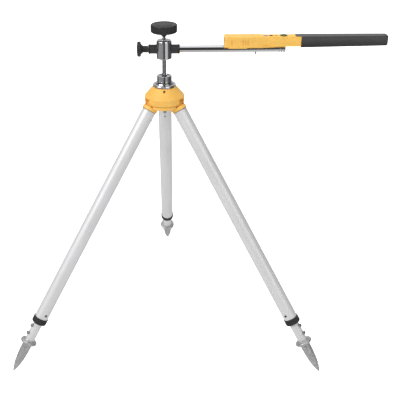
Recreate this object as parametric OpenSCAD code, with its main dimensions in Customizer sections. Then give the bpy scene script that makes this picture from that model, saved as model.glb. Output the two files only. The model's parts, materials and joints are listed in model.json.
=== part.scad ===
// Laser level on a tripod: three folding telescopic legs under a cast head, a sliding post,
// a cross clamp that holds a horizontal arm, and a long battery laser level on the arm's end.
// Millimetres, +Z up. The origin is on the ground, on the tripod's own axis. The arm runs along +X.

/* [Tripod] */
// Lean of each leg from the vertical when it stands open
leg_angle = 32.8; // [28:0.2:34]
// Height of the leg hinge pins above the ground
hinge_z = 792; // [700:1:900]
// Distance of the leg hinge pins from the tripod's axis
hinge_r = 35.5; // [35.5:0.5:38]
// Outside diameter of the upper leg tube
tube_d = 42; // [40:1:42]
// Outside diameter of the lower leg tube
inner_tube_d = 29; // [26:1:30]
// Wall of both leg tubes
tube_wall = 2; // [1.5:0.5:2.5]
// Length of the spike below its tread flange
spike_l = 104; // [90:1:110]

/* [Head] */
// Outside radius of the head
head_r = 59; // [57:1:62]
// Radius of the clamp flange on top of the head
flange_r = 34; // [30:0.5:35]
// Radius of the post's lock nut
nut_r = 22; // [20:0.5:22.5]

/* [Arm] */
// Radius of the sliding post
post_r = 6; // [5:0.5:7]
// Height of the arm above the leg hinge pins
arm_rise = 153; // [143:1:170]
// Radius of the arm
arm_r = 10; // [8:0.5:10]
// Radius of the cross clamp block
block_r = 22.5; // [20:0.5:24]
// Height of the cross clamp block
block_h = 55; // [50:1:56]
// Outside radius of the large clamp knob
knob_r = 38.5; // [34:0.5:42]

/* [Laser] */
// Front end of the laser level along the arm
laser_x = 173; // [160:1:190]
// Length of the yellow front housing
housing_l = 219; // [214:1:226]
// Half width of the housing's front part
nose_hw = 20; // [18:0.5:22]
// Half width of the housing's rear part
rear_hw = 15; // [14:0.5:16]
// Height of the housing
housing_h = 26.5; // [26:0.5:28]
// Length of the black battery grip, without its cap
grip_l = 234; // [232:1:250]

/* [Hidden] */
$fn = 64;

AMBER = "#F2B233";
BLACK = "#26262A";
CHROME = "#C9CBD0";
ALU = "#DCDCDE";
STEEL = "#8E9094";
BRASS = "#B8963E";

LEFT = 210;
RIGHT = 330;
REAR = 90;
AZIMUTHS = [LEFT, RIGHT, REAR];
EPS = 0.01;
BIG = 900;

// Running clearance on a turning or sliding pair, on the radius.
run = 0.05;

// Leg stations: distance down the leg's axis from its hinge pin.
leg_l = hinge_z / cos(leg_angle);
lug_r = 10;
lug_w = 25.6;
shoulder_r = tube_d / 2 + 2;
shoulder_s0 = 19.5;
shoulder_s1 = 30;
plug_end_s = 75;
socket_screw_s = 56;
upper_rivet_s = 81;
collar_l = 20;
foot_s = leg_l - spike_l - 11;
collar_s = foot_s - 79;
tube_end_s = collar_s + 9.5;
bush_l = 42;
bush_screw_s = collar_s - 15;
bush_screw_r = 4.2;
inner_top_s = 300;
guide_l = 30;
shank_s = foot_s - 56;
bolt_s = [foot_s - 46, foot_s - 20];
bush_r = inner_tube_d / 2 + 0.1;
tube_ir = tube_d / 2 - tube_wall;
inner_ir = inner_tube_d / 2 - tube_wall;
flange_edge_r = 26;
tread_l = 16;
point_l = leg_l - foot_s - tread_l;

// Head levels.
head_top = hinge_z + 41;
head_brim = hinge_z + 14;
head_seam = hinge_z - 6;
head_floor = hinge_z - 18;
seam_gap = 1.6;
pocket_roof = hinge_z + 11;
pocket_hw = lug_w / 2 + 0.3;
pocket_in = hinge_r - 11.5;
pin_r = 4;
pin_l = 50;
cheek_r = 18.8;
stem_r = 14;
flange_top = head_top + 12;
nut_top = flange_top + 21;
collet_r = 15;
set_screw_z = head_top - 6;
set_screw_l = 20;
base_screw_r = 40;

// Clamp block and knob levels.
arm_z = hinge_z + arm_rise;
block_z = arm_z - block_h / 2;
block_top = arm_z + block_h / 2;
sleeve_r = arm_r + 3.5;
sleeve_l = 91;
stud_r = 4.5;
pad_h = 4;
stud_z = arm_z + sleeve_r + pad_h + 2 * run;
knob_z = block_top + 22;
knob_h = 24;
post_foot = hinge_z - 5;
post_socket = 12;

// Arm stations along X.
arm_end = laser_x + 158;
hub_x = -46;
hub_l = 20;
end_knob_r = 22;
end_knob_w = 12;
cradle_bolt_x = laser_x + 92;
cradle_bolt_r = 2;

// Laser levels.
laser_z = arm_z + arm_r + 1.2;
laser_top = laser_z + housing_h;
wall = 2.5;
skirt = 2.4;
housing_end = laser_x + housing_l;
spigot_l = 16;
waist_x0 = 95;
waist_x1 = 122;
beam_z = laser_z + 14;
grip_end = housing_end + grip_l;
grip_start_drop = 4.8;
grip_end_drop = 1.7;
grip_lip = 0.8;
grip_end_hw = 13.2;
cap_l = 13;
bore_z = laser_z + 15;
nose_corner = 5;
rib_groove_x = [20, 52, 59, 66];
rib_groove_d = 1.6;
rib_groove_w = 2.5;
cell_r = 7.25;
cell_l = 50.5;
cells = 4;
cells_x = housing_end + 18;
button_x = laser_x + 119;
switch_x = laser_x + 138;
vial_x = laser_x + 170;
vial_r = 10;

// ---- Placement helpers ----

// Puts children in a leg's own frame: origin on the hinge pin, -Z down the leg, +X to its outer side.
module leg_frame(azimuth)
  rotate([0, 0, azimuth]) translate([hinge_r, 0, hinge_z]) rotate([0, -leg_angle, 0]) children();

// A cylinder along the leg between two stations.
module leg_rod(s0, s1, r)
  translate([0, 0, -s1]) cylinder(h = s1 - s0, r = r);

// A cylinder along X between two places.
module x_rod(x0, x1, r)
  translate([x0, 0, 0]) rotate([0, 90, 0]) cylinder(h = x1 - x0, r = r);

// Points of a round corner, from one angle to another.
function arc_points(centre, r, a0, a1, n = 6) =
  [for (i = [0:n]) let (a = a0 + (a1 - a0) * i / n) [centre[0] + r * cos(a), centre[1] + r * sin(a)]];

// ---- Head ----

// Everything the three legs need cut out of the head: slots for the lugs and room for the shoulders.
module leg_clearance()
  for (a = AZIMUTHS) rotate([0, 0, a]) {
    translate([pocket_in, -pocket_hw, head_floor - 5])
      cube([BIG, 2 * pocket_hw, pocket_roof - head_floor + 5]);
    difference() {
      translate([hinge_r, -shoulder_r - 0.6, head_floor - 5])
        cube([BIG, 2 * shoulder_r + 1.2, 21]);
      translate([hinge_r, 0, hinge_z]) rotate([90, 0, 0])
        cylinder(h = 2 * shoulder_r + 4, r = cheek_r, center = true);
    }
  }

module pin_holes(r)
  for (a = AZIMUTHS) rotate([0, 0, a]) translate([hinge_r, 0, hinge_z])
    rotate([90, 0, 0]) cylinder(h = pin_l, r = r, center = true);

module base_screw_holes(r, z0, z1)
  for (a = AZIMUTHS) rotate([0, 0, a + 60]) translate([base_screw_r, 0, z0])
    cylinder(h = z1 - z0, r = r);

module head_cap() color(AMBER)
  difference() {
    rotate_extrude() polygon(concat(
      [[0, head_seam], [head_r - 1, head_seam], [head_r, head_seam + 1]],
      arc_points([head_r - 6, head_brim - 3], 6, 0, 45),
      arc_points([flange_r + 0.5, head_top - 2], 2, 45, 90),
      [[0, head_top]]));
    leg_clearance();
    pin_holes(pin_r);
    translate([0, 0, head_seam - EPS]) cylinder(h = BIG, r = stem_r);
    base_screw_holes(2.5, head_seam - EPS, head_seam + 16);
    translate([0, 0, set_screw_z]) rotate([90, 0, 0]) cylinder(h = head_r, r = 4);
  }

module head_base() color(AMBER)
  difference() {
    rotate_extrude() polygon(concat(
      [[post_r + 1.5, head_floor]],
      arc_points([head_r - 4, head_floor + 3], 3, -90, 0),
      [[head_r - 1, head_seam - seam_gap], [head_r - 4, head_seam - seam_gap]],
      [[head_r - 4, head_seam], [post_r + 1.5, head_seam]]));
    leg_clearance();
    pin_holes(pin_r);
    base_screw_holes(2.5, head_floor - EPS, head_seam + EPS);
    base_screw_holes(4.5, head_floor - EPS, head_floor + 4);
  }

// The set screw that holds the flange's stem, seen at the front of the cap's slope.
module flange_set_screw()
  translate([0, 0, set_screw_z]) rotate([90, 0, 0]) difference() {
    translate([0, 0, stem_r]) cylinder(h = set_screw_l, r = 4);
    translate([0, 0, stem_r + set_screw_l - 4]) cylinder(h = 5, r = 2.2, $fn = 6);
  }

module head_screws() color(STEEL) {
  flange_set_screw();
  difference() {
    union() {
      base_screw_holes(2.5, head_floor + 3, head_seam + 16);
      base_screw_holes(4.5, head_floor + 0.5, head_floor + 4);
    }
    for (a = AZIMUTHS) rotate([0, 0, a + 60]) translate([base_screw_r, 0, head_floor])
      cylinder(h = 3, r = 2, $fn = 6);
  }
}

module hinge_pins() color(STEEL) pin_holes(pin_r);

module post_flange() color(CHROME)
  difference() {
    rotate_extrude() polygon(concat(
      [[post_r + run, head_seam + 14], [stem_r, head_seam + 14], [stem_r, head_top]],
      [[flange_r - 1.5, head_top], [flange_r, head_top + 1.5]],
      arc_points([flange_r - 3, head_top + 5], 3, 0, 90),
      [[flange_r - 6, head_top + 8.5], [flange_r - 8, flange_top], [collet_r, flange_top]],
      [[collet_r, flange_top + 13], [collet_r - 3, flange_top + 16], [post_r + run, flange_top + 16]]));
    for (a = [0:60:300]) rotate([0, 0, a + 30]) translate([flange_r + 1.6, 0, head_top - 1])
      cylinder(h = 10, r = 4);
  }

module lock_nut() color(CHROME)
  difference() {
    rotate_extrude() polygon(concat(
      [[collet_r + run, flange_top + 1], [nut_r - 1, flange_top + 1], [nut_r, flange_top + 2]],
      arc_points([nut_r - 2.5, nut_top - 2.5], 2.5, 0, 90),
      [[nut_r - 7, nut_top], [nut_r - 8, nut_top - 1.5], [post_r + 2, nut_top - 1.5]],
      [[post_r + run, nut_top - 3], [post_r + run, flange_top + 17], [collet_r - 3 + 1, flange_top + 17]],
      [[collet_r + run, flange_top + 14]]));
    for (a = [0:45:315]) rotate([0, 0, a + 20]) translate([nut_r + 3.2, 0, flange_top + 4])
      cylinder(h = 30, r = 5);
    for (a = [0:90:270]) rotate([0, 0, a + 42.5]) translate([collet_r + 2, 0, flange_top + 11])
      rotate([0, 90, 0]) cylinder(h = 10, r = 2);
  }

// ---- Legs, drawn in the leg's own frame ----

module leg_socket(azimuth) color(AMBER) leg_frame(azimuth)
  difference() {
    union() {
      rotate([90, 0, 0]) cylinder(h = lug_w, r = lug_r, center = true);
      translate([-lug_r, -lug_w / 2, -shoulder_s0 - 1]) cube([2 * lug_r, lug_w, shoulder_s0 + 1]);
      rotate_extrude() polygon(concat(
        [[0, -shoulder_s1], [shoulder_r, -shoulder_s1]],
        arc_points([shoulder_r - 3, -shoulder_s0 - 3], 3, 0, 90),
        [[0, -shoulder_s0]]));
      leg_rod(shoulder_s1 - EPS, plug_end_s, tube_ir);
    }
    rotate([90, 0, 0]) cylinder(h = lug_w + 2, r = pin_r + run, center = true);
    leg_rod(shoulder_s1 + 6, plug_end_s + 1, tube_ir - 4);
    translate([-tube_ir - 1, 0, -socket_screw_s]) rotate([0, 90, 0]) cylinder(h = 8, r = 2.5);
  }

module leg_tube(azimuth) color(ALU) leg_frame(azimuth)
  difference() {
    leg_rod(shoulder_s1, tube_end_s, tube_d / 2);
    leg_rod(shoulder_s1 - 1, tube_end_s + 1, tube_ir);
    translate([-tube_d / 2 - 1, 0, -socket_screw_s]) rotate([0, 90, 0]) cylinder(h = 4, r = 2.5);
    translate([-tube_d / 2 - 1, 0, -upper_rivet_s]) rotate([0, 90, 0]) cylinder(h = 4, r = 1.6);
    translate([0, 0, -bush_screw_s]) rotate([90, 0, 0])
      cylinder(h = tube_d + 2, r = bush_screw_r, center = true);
  }

// A round head with its shank, along +X from the outside of a wall at x = 0.
module round_head(head_radius, head_height, shank_r, shank_l)
  rotate([0, 90, 0]) {
    rotate_extrude() polygon(concat(
      [[0, 0], [head_radius, 0]],
      arc_points([head_radius - head_height * 0.6, -head_height * 0.4], head_height * 0.6, 0, -90),
      [[0, -head_height]]));
    cylinder(h = shank_l, r = shank_r);
  }

module leg_screws(azimuth) color(STEEL) leg_frame(azimuth) {
  translate([-tube_d / 2, 0, -socket_screw_s]) difference() {
    round_head(5, 3.6, 2.5, tube_wall + 4);
    translate([-4.6, 0, 0]) rotate([0, 90, 0]) cylinder(h = 2.6, r = 2, $fn = 6);
    leg_face_cut(5.2);
  }
  translate([-tube_d / 2, 0, -upper_rivet_s]) difference() {
    round_head(3, 1.8, 1.6, tube_wall);
    leg_face_cut(3.2);
  }
  for (side = [-1, 1]) translate([0, 0, -bush_screw_s]) difference() {
    rotate([side * 90, 0, 0]) translate([0, 0, bush_r + 1.5])
      cylinder(h = tube_d / 2 - bush_r - 2.1, r = bush_screw_r);
    rotate([side * 90, 0, 0]) translate([0, 0, tube_d / 2 - 2.6]) cylinder(h = 4, r = 2.4, $fn = 6);
  }
}

// The curved outside of the upper tube, taken off the foot of a round head that sits on it.
module leg_face_cut(r)
  difference() {
    translate([tube_d / 2, 0, -r]) cylinder(h = 2 * r, r = tube_d / 2, $fn = 128);
    rotate([0, 90, 0]) translate([0, 0, -1]) cylinder(h = tube_d, r = r < 4 ? 1.6 : 2.5);
  }

module tube_bush(azimuth) color(BLACK) leg_frame(azimuth)
  difference() {
    leg_rod(tube_end_s - bush_l, tube_end_s, tube_ir);
    leg_rod(tube_end_s - bush_l - 1, tube_end_s + 1, bush_r);
    for (side = [-1, 1]) translate([0, 0, -bush_screw_s]) rotate([side * 90, 0, 0])
      translate([0, 0, bush_r + 1.5]) cylinder(h = 10, r = bush_screw_r);
  }

module lock_collar(azimuth) color(BLACK) leg_frame(azimuth)
  difference() {
    rotate_extrude() polygon(concat(
      arc_points([shoulder_r - 1, -collar_s - 1], 1, 90, 0, 3),
      arc_points([shoulder_r - 4, -collar_s - collar_l + 4], 4, 0, -90),
      [[bush_r + 0.1, -collar_s - collar_l], [bush_r + 0.1, -tube_end_s - 0.3]],
      [[tube_d / 2 + run, -tube_end_s - 0.3], [tube_d / 2 + run, -collar_s]]));
    for (a = [0:20:340]) rotate([0, 0, a]) translate([shoulder_r + 0.7, 0, -collar_s - collar_l + 5])
      cylinder(h = 12, r = 1.3, $fn = 16);
  }

module inner_tube(azimuth) color(ALU) leg_frame(azimuth)
  difference() {
    leg_rod(inner_top_s, foot_s, inner_tube_d / 2);
    leg_rod(inner_top_s - 1, foot_s + 1, inner_ir);
    for (s = bolt_s) translate([0, 0, -s]) rotate([0, 90, 0]) cylinder(h = inner_tube_d, r = 3);
  }

module guide_ring(azimuth) color(BLACK) leg_frame(azimuth)
  difference() {
    leg_rod(inner_top_s, inner_top_s + guide_l, tube_ir - 0.2);
    leg_rod(inner_top_s - 1, inner_top_s + guide_l + 1, inner_tube_d / 2);
  }

// Radius of the spike's long convex point, from its root at t = 0 to its blunt tip at t = 1.
function spike_radius(t) = 1.6 + 13.4 * pow(1 - pow(t, 2.8), 0.9);

// The spike: a shank up inside the lower tube, a dished tread flange and a long convex point.
module foot_spike(azimuth) color(STEEL)
  difference() {
    leg_frame(azimuth) difference() {
      rotate_extrude() polygon(concat(
        [[0, -shank_s], [inner_ir, -shank_s], [inner_ir, -foot_s]],
        [[inner_tube_d / 2 + 2.5, -foot_s], [inner_tube_d / 2 + 4, -foot_s - 3]],
        [[flange_edge_r - 6, -foot_s - 3]],
        arc_points([flange_edge_r - 5.5, -foot_s - 8.5], 5.5, 90, -80, 8),
        [for (i = [0:10]) let (t = i / 10) [spike_radius(t), -foot_s - tread_l - point_l * t]],
        [[0, -leg_l]]));
      for (s = bolt_s) translate([0, 0, -s]) rotate([0, 90, 0]) cylinder(h = inner_tube_d, r = 3);
    }
    translate([-BIG, -BIG, -60]) cube([2 * BIG, 2 * BIG, 60]);
  }

module foot_bolts(azimuth) color(STEEL) leg_frame(azimuth)
  for (s = bolt_s) translate([inner_tube_d / 2, 0, -s]) difference() {
    union() {
      rotate([0, 90, 0]) rotate_extrude() polygon(concat(
        [[0, -1.2], [5.5, -1.2]], arc_points([2.5, 3.5], 3, 0, 90), [[0, 6.5]]));
      translate([-inner_tube_d / 2, 0, 0]) rotate([0, 90, 0]) cylinder(h = inner_tube_d / 2, r = 3);
    }
    difference() {
      translate([-inner_tube_d / 2, 0, -8]) cylinder(h = 16, r = inner_tube_d / 2, $fn = 128);
      translate([-inner_tube_d, 0, 0]) rotate([0, 90, 0]) cylinder(h = 2 * inner_tube_d, r = 3);
    }
  }

// ---- Post, cross clamp and arm ----

module post() color(STEEL)
  translate([0, 0, post_foot]) cylinder(h = block_z + post_socket - post_foot, r = post_r);

module clamp_block() color(CHROME)
  difference() {
    rotate_extrude() polygon(concat(
      [[0, block_z]],
      arc_points([block_r - 2.5, block_z + 2.5], 2.5, -90, 0),
      arc_points([block_r - 5, block_top - 5], 5, 0, 90),
      [[0, block_top]]));
    translate([0, 0, arm_z]) x_rod(-block_r - 1, block_r + 1, sleeve_r + run);
    translate([0, 0, block_z - 1]) cylinder(h = post_socket + 1.5, r = post_r + run);
    translate([0, 0, arm_z]) cylinder(h = block_h, r = stud_r + run);
  }

module clamp_knob() color(BLACK)
  difference() {
    rotate_extrude() polygon(concat(
      [[0, knob_z - 11], [7, knob_z - 11], [14, knob_z]],
      arc_points([knob_r - 5, knob_z + 5], 5, -90, 0),
      arc_points([knob_r - 4, knob_z + knob_h - 4], 4, 0, 80),
      [[knob_r - 9, knob_z + knob_h], [knob_r - 14, knob_z + knob_h - 1.5], [0, knob_z + knob_h - 1.5]]));
    for (a = [0:24:336]) rotate([0, 0, a]) translate([knob_r + 2.2, 0, knob_z - 1])
      cylinder(h = knob_h + 2, r = 3.6);
    translate([0, 0, knob_z - 12]) cylinder(h = 24, r = stud_r);
  }

// The loose pad that the stud presses on the sleeve.
module clamp_pad() color(BRASS)
  translate([0, 0, arm_z + sleeve_r + run])
    cylinder(h = pad_h, r = stud_r - run);

module clamp_stud() color(STEEL)
  translate([0, 0, stud_z])
    cylinder(h = knob_z + 12 - stud_z, r = stud_r);

module arm_sleeve() color(BLACK)
  translate([0, 0, arm_z]) difference() {
    rotate([0, 90, 0]) rotate_extrude() polygon([
      [arm_r + run, -sleeve_l / 2], [sleeve_r - 1, -sleeve_l / 2], [sleeve_r, -sleeve_l / 2 + 1],
      [sleeve_r, sleeve_l / 2 - 1], [sleeve_r - 1, sleeve_l / 2], [arm_r + run, sleeve_l / 2]]);
    translate([sleeve_l / 4 + 3, -1, -BIG]) cube([sleeve_l, 2, BIG]);
    translate([-sleeve_l * 5 / 4 - 3, -1, -BIG]) cube([sleeve_l, 2, BIG]);
  }

module arm_rod() color(CHROME)
  translate([0, 0, arm_z]) difference() {
    x_rod(hub_x, arm_end, arm_r);
    x_rod(hub_x - 1, hub_x + 18, 4 + run);
    x_rod(arm_end - 20, arm_end + 1, 5);
    translate([cradle_bolt_x, 0, -arm_r - 1]) cylinder(h = 2 * arm_r + 2, r = cradle_bolt_r + 0.1);
  }

module arm_end_cap() color(CHROME)
  translate([arm_end, 0, arm_z]) rotate([0, 90, 0]) rotate_extrude() polygon(concat(
    [[0, -19], [5, -19], [5, 0], [arm_r + 1, 0], [arm_r + 1, 3], [arm_r - 2, 3.2], [arm_r - 2, 5.8]],
    [[arm_r + 1.6, 6], [arm_r + 1.6, 10.5], [arm_r - 2, 10.7], [arm_r - 2, 13.3], [arm_r + 1.6, 13.5]],
    arc_points([arm_r - 0.4, 17], 2, 0, 90),
    [[0, 19]]));

module end_knob() color(BLACK)
  translate([hub_x, 0, arm_z]) rotate([0, -90, 0]) difference() {
    rotate_extrude() polygon(concat(
      [[0, 0.5], [arm_r, 0.5], [arm_r, hub_l - 5]],
      [[arm_r + 2, hub_l - 3], [end_knob_r - 6, hub_l + 1]],
      arc_points([end_knob_r - 3, hub_l + 4], 3, -60, 0),
      arc_points([end_knob_r - 3, hub_l + end_knob_w - 3], 3, 0, 90),
      [[0, hub_l + end_knob_w]]));
    for (a = [0:30:330]) rotate([0, 0, a]) translate([end_knob_r + 2, 0, hub_l - 2])
      cylinder(h = 20, r = 3.2);
    translate([0, 0, -1]) cylinder(h = hub_l + 1, r = 4);
  }

module end_knob_stud() color(STEEL)
  translate([0, 0, arm_z]) x_rod(hub_x - hub_l, hub_x + 17, 4);

// ---- Laser level ----

// Plan of the housing, seen from above, taken in by `inset` all round.
module housing_plan(inset)
  polygon(concat(
    arc_points([laser_x + nose_corner, nose_hw - nose_corner], nose_corner - inset, 90, 180, 8),
    arc_points([laser_x + nose_corner, nose_corner - nose_hw], nose_corner - inset, 180, 270, 8),
    [[laser_x + waist_x0, inset - nose_hw], [laser_x + waist_x1, inset - rear_hw]],
    [[housing_end - inset, inset - rear_hw], [housing_end - inset, rear_hw - inset]],
    [[laser_x + waist_x1, rear_hw - inset], [laser_x + waist_x0, nose_hw - inset]]));

module laser_housing() color(AMBER)
  difference() {
    union() {
      translate([0, 0, laser_z - skirt]) linear_extrude(housing_h + skirt) housing_plan(0);
      translate([housing_end - 1, 3 - rear_hw, laser_z + 3])
        cube([spigot_l + 1, 2 * rear_hw - 6, housing_h - 6]);
    }
    translate([0, 0, laser_z - skirt - 1]) linear_extrude(housing_h + skirt - wall + 1) housing_plan(wall);
    translate([0, 0, arm_z]) x_rod(laser_x - 1, laser_x + wall + 1, arm_r + 0.4);
    translate([0, 0, beam_z]) x_rod(laser_x - 1, laser_x + 5, 7);
    translate([0, 0, bore_z]) x_rod(housing_end - 5, housing_end + spigot_l + 1, 6);
    translate([button_x, 0, laser_top - 5]) cylinder(h = 10, r = 4.6);
    translate([switch_x - 10, -5, laser_top - 1.5]) cube([20, 10, 5]);
    translate([switch_x - 6, -1.6, laser_top - 5]) cube([12, 3.2, 8]);
    translate([vial_x, 0, laser_top - 5]) cylinder(h = 10, r = vial_r - 1);
    for (x = rib_groove_x) for (side = [-1, 1])
      translate([laser_x + x, side * nose_hw - rib_groove_d, laser_z + 4])
        cube([rib_groove_w, 2 * rib_groove_d, 14]);
  }

module laser_base() color(AMBER)
  difference() {
    union() {
      translate([0, 0, laser_z]) linear_extrude(3) housing_plan(wall);
      for (x = [52, 110]) translate([laser_x + x, 0, laser_z]) cylinder(h = 8, r = 4);
    }
    translate([cradle_bolt_x, 0, laser_z - 1]) cylinder(h = 10, r = cradle_bolt_r);
    translate([0, 0, arm_z]) x_rod(arm_end - 1, arm_end + 21, arm_r + 2);
  }

// The saddle under the nose that sits over the arm.
module laser_cradle() color(AMBER)
  difference() {
    translate([0, nose_hw - 0.5, 0]) rotate([90, 0, 0]) linear_extrude(2 * nose_hw - 1) polygon([
      [laser_x + 8, laser_z], [laser_x + 11, laser_z - 4.5], [laser_x + 16, laser_z - 6.4],
      [laser_x + 64, laser_z - 6.4], [laser_x + 68, laser_z - 4.2], [laser_x + 108, laser_z - 4.2],
      [laser_x + 114, laser_z - 3.2], [laser_x + 148, laser_z - 3], [laser_x + 150, laser_z]]);
    translate([0, 0, laser_z - skirt]) linear_extrude(skirt + 1) difference() {
      housing_plan(-2);
      housing_plan(wall);
    }
    translate([0, 0, arm_z]) x_rod(0, arm_end + 20, arm_r);
    translate([cradle_bolt_x, 0, laser_z - 20]) cylinder(h = 30, r = cradle_bolt_r + 0.1);
    for (side = [-1, 1])
      translate([laser_x + 90, side * (nose_hw + 4), laser_z - 12]) rotate([0, 0, -side * 9])
        translate([0, side > 0 ? 0 : -20, 0]) cube([80, 20, 20]);
  }

module cradle_bolt() color(STEEL)
  translate([cradle_bolt_x, 0, arm_z - arm_r - 7])
    cylinder(h = laser_z + 6 - arm_z + arm_r + 7, r = cradle_bolt_r);

module lens_bezel() color(BLACK)
  translate([laser_x, 0, beam_z]) rotate([0, 90, 0]) rotate_extrude() polygon([
    [5.5, -0.6], [8.6, -0.6], [9, -0.2], [9, 0], [7, 0], [7, 17], [6, 17],
    [6, 4], [5, 4], [5, 1], [5.5, 1]]);

module lens_window() color([0.75, 0.2, 0.2, 0.5])
  translate([0, 0, beam_z]) x_rod(laser_x - 0.4, laser_x + 1, 5.5);

module laser_module() color(BRASS)
  translate([0, 0, beam_z]) x_rod(laser_x + 4, laser_x + 40, 6);

module circuit_board() color("#2C6E3F")
  translate([laser_x + 45, -11, laser_z + 8]) {
    cube([72, 22, 1.6]);
    translate([8, 5, 1.6]) cube([10, 10, 1.6]);
    translate([34, 4, 1.6]) cube([8, 8, 2]);
  }

module power_button() color("#8C8F90")
  translate([button_x, 0, laser_top]) rotate_extrude() polygon(concat(
    [[0, -5], [4.5, -5], [4.5, 0.5]], arc_points([3, 0.5], 1.5, 0, 90), [[0, 2.2]]));

module mode_switch() color(BLACK)
  translate([switch_x - 4, 0, laser_top]) {
    translate([-3.5, -4, -1.45]) cube([7, 8, 2.4]);
    translate([-1.5, -1.5, -4.5]) cube([3, 3, 3.1]);
  }

module vial_ring() color(BLACK)
  translate([vial_x, 0, laser_top]) rotate_extrude() polygon([
    [7.5, -3], [vial_r - 1, -3], [vial_r - 1, 0], [vial_r, 0],
    [vial_r, 1.6], [vial_r - 0.8, 2.2], [7.5, 2.2]]);

module level_vial() color([0.55, 0.75, 0.35, 0.6])
  translate([vial_x, 0, laser_top]) rotate_extrude() polygon(concat(
    [[0, -3], [7.5, -3], [7.5, 1.8]], arc_points([0, -9.8], 13.8, 57, 90, 6)));

// A slab of the grip at a place along X: half width, lowest and highest point.
module grip_slab(x, thickness, hw, z0, z1)
  translate([x, -hw, z0]) cube([thickness, 2 * hw, z1 - z0]);

module battery_grip() color(BLACK)
  difference() {
    union() {
      hull() {
        grip_slab(housing_end, 1, rear_hw + 1, laser_z - grip_start_drop, laser_top + grip_lip);
        grip_slab(grip_end - 1, 1, grip_end_hw, laser_z - grip_end_drop, laser_top + grip_lip);
      }
      grip_slab(housing_end - 15, 16, rear_hw - 1, laser_top, laser_top + grip_lip);
    }
    translate([housing_end - 0.5, 3 - rear_hw, laser_z + 3])
      cube([spigot_l + 0.5, 2 * rear_hw - 6, housing_h - 6]);
    translate([0, 0, bore_z]) x_rod(housing_end, grip_end + 1, cell_r + 0.35);
  }

module batteries() color("#C7A44A")
  for (i = [0:cells - 1]) translate([cells_x + i * cell_l, 0, bore_z]) {
    x_rod(0, cell_l - 1.2, cell_r);
    x_rod(cell_l - 1.3, cell_l, 2.7);
  }

module front_contact() color(BRASS)
  translate([0, 0, bore_z]) x_rod(cells_x - 1.2, cells_x, 6.5);

// A folded leaf that presses on the last cell.
module rear_contact() color(BRASS)
  translate([cells_x + cells * cell_l, 4, bore_z]) rotate([90, 0, 0]) linear_extrude(8)
    polygon([[0, -1], [1, -1.5], [9, 4.4], [9, 5.4], [8, 5.2], [0, 0]]);

module battery_cap() color(BLACK)
  union() {
    hull() {
      grip_slab(grip_end + 0.2, 8, grip_end_hw - 0.1, laser_z - grip_end_drop + 0.1, laser_top + grip_lip);
      grip_slab(grip_end + cap_l - 1, 1, grip_end_hw - 2, laser_z - grip_end_drop + 1.5, laser_top - 0.8);
    }
    translate([0, 0, bore_z]) x_rod(cells_x + cells * cell_l + 9.2, grip_end + 1, cell_r + 0.2);
  }

// ---- The nodes ----

head_cap();
head_base();
head_screws();
hinge_pins();
post_flange();
lock_nut();

leg_socket(LEFT);  // left_leg_socket
leg_tube(LEFT);  // left_leg_tube
leg_screws(LEFT);  // left_leg_screws
tube_bush(LEFT);  // left_tube_bush
lock_collar(LEFT);  // left_lock_collar
inner_tube(LEFT);  // left_inner_tube
guide_ring(LEFT);  // left_guide_ring
foot_spike(LEFT);  // left_foot_spike
foot_bolts(LEFT);  // left_foot_bolts

leg_socket(RIGHT);  // right_leg_socket
leg_tube(RIGHT);  // right_leg_tube
leg_screws(RIGHT);  // right_leg_screws
tube_bush(RIGHT);  // right_tube_bush
lock_collar(RIGHT);  // right_lock_collar
inner_tube(RIGHT);  // right_inner_tube
guide_ring(RIGHT);  // right_guide_ring
foot_spike(RIGHT);  // right_foot_spike
foot_bolts(RIGHT);  // right_foot_bolts

leg_socket(REAR);  // rear_leg_socket
leg_tube(REAR);  // rear_leg_tube
leg_screws(REAR);  // rear_leg_screws
tube_bush(REAR);  // rear_tube_bush
lock_collar(REAR);  // rear_lock_collar
inner_tube(REAR);  // rear_inner_tube
guide_ring(REAR);  // rear_guide_ring
foot_spike(REAR);  // rear_foot_spike
foot_bolts(REAR);  // rear_foot_bolts

post();
clamp_block();
clamp_pad();
clamp_knob();
clamp_stud();
arm_sleeve();
arm_rod();
arm_end_cap();
end_knob();
end_knob_stud();

laser_housing();
laser_base();
laser_cradle();
cradle_bolt();
lens_bezel();
lens_window();
laser_module();
circuit_board();
power_button();
mode_switch();
vial_ring();
level_vial();
battery_grip();
batteries();
front_contact();
rear_contact();
battery_cap();
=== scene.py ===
import json
import math

import bmesh
import bpy
from mathutils import Matrix, Vector


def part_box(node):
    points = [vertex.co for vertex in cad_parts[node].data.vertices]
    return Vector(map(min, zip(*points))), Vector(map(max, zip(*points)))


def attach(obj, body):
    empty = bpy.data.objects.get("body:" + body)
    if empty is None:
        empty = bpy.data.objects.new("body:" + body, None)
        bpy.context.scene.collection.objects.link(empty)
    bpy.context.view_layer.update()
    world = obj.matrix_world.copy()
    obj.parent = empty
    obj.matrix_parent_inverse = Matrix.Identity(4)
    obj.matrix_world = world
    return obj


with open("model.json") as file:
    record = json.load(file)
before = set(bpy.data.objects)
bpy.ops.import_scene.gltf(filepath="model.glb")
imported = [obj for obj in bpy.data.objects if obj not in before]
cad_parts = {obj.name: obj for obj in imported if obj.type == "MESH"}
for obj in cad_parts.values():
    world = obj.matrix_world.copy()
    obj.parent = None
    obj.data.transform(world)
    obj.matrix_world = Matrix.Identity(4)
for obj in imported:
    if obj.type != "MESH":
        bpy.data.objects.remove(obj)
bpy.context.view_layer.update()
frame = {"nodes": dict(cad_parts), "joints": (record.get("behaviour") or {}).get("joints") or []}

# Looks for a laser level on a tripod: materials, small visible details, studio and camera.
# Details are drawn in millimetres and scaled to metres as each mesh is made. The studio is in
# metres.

MM = 0.001
JOINTS = {joint["name"]: joint for joint in frame["joints"]}

# Where each leg points, in degrees round the stand, and how far every leg leans from upright.
LEG_AZIMUTHS = {"left": 210, "right": 330, "rear": 90}
LEG_LEAN = math.radians(32.8)


# ---- Materials ----

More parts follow.
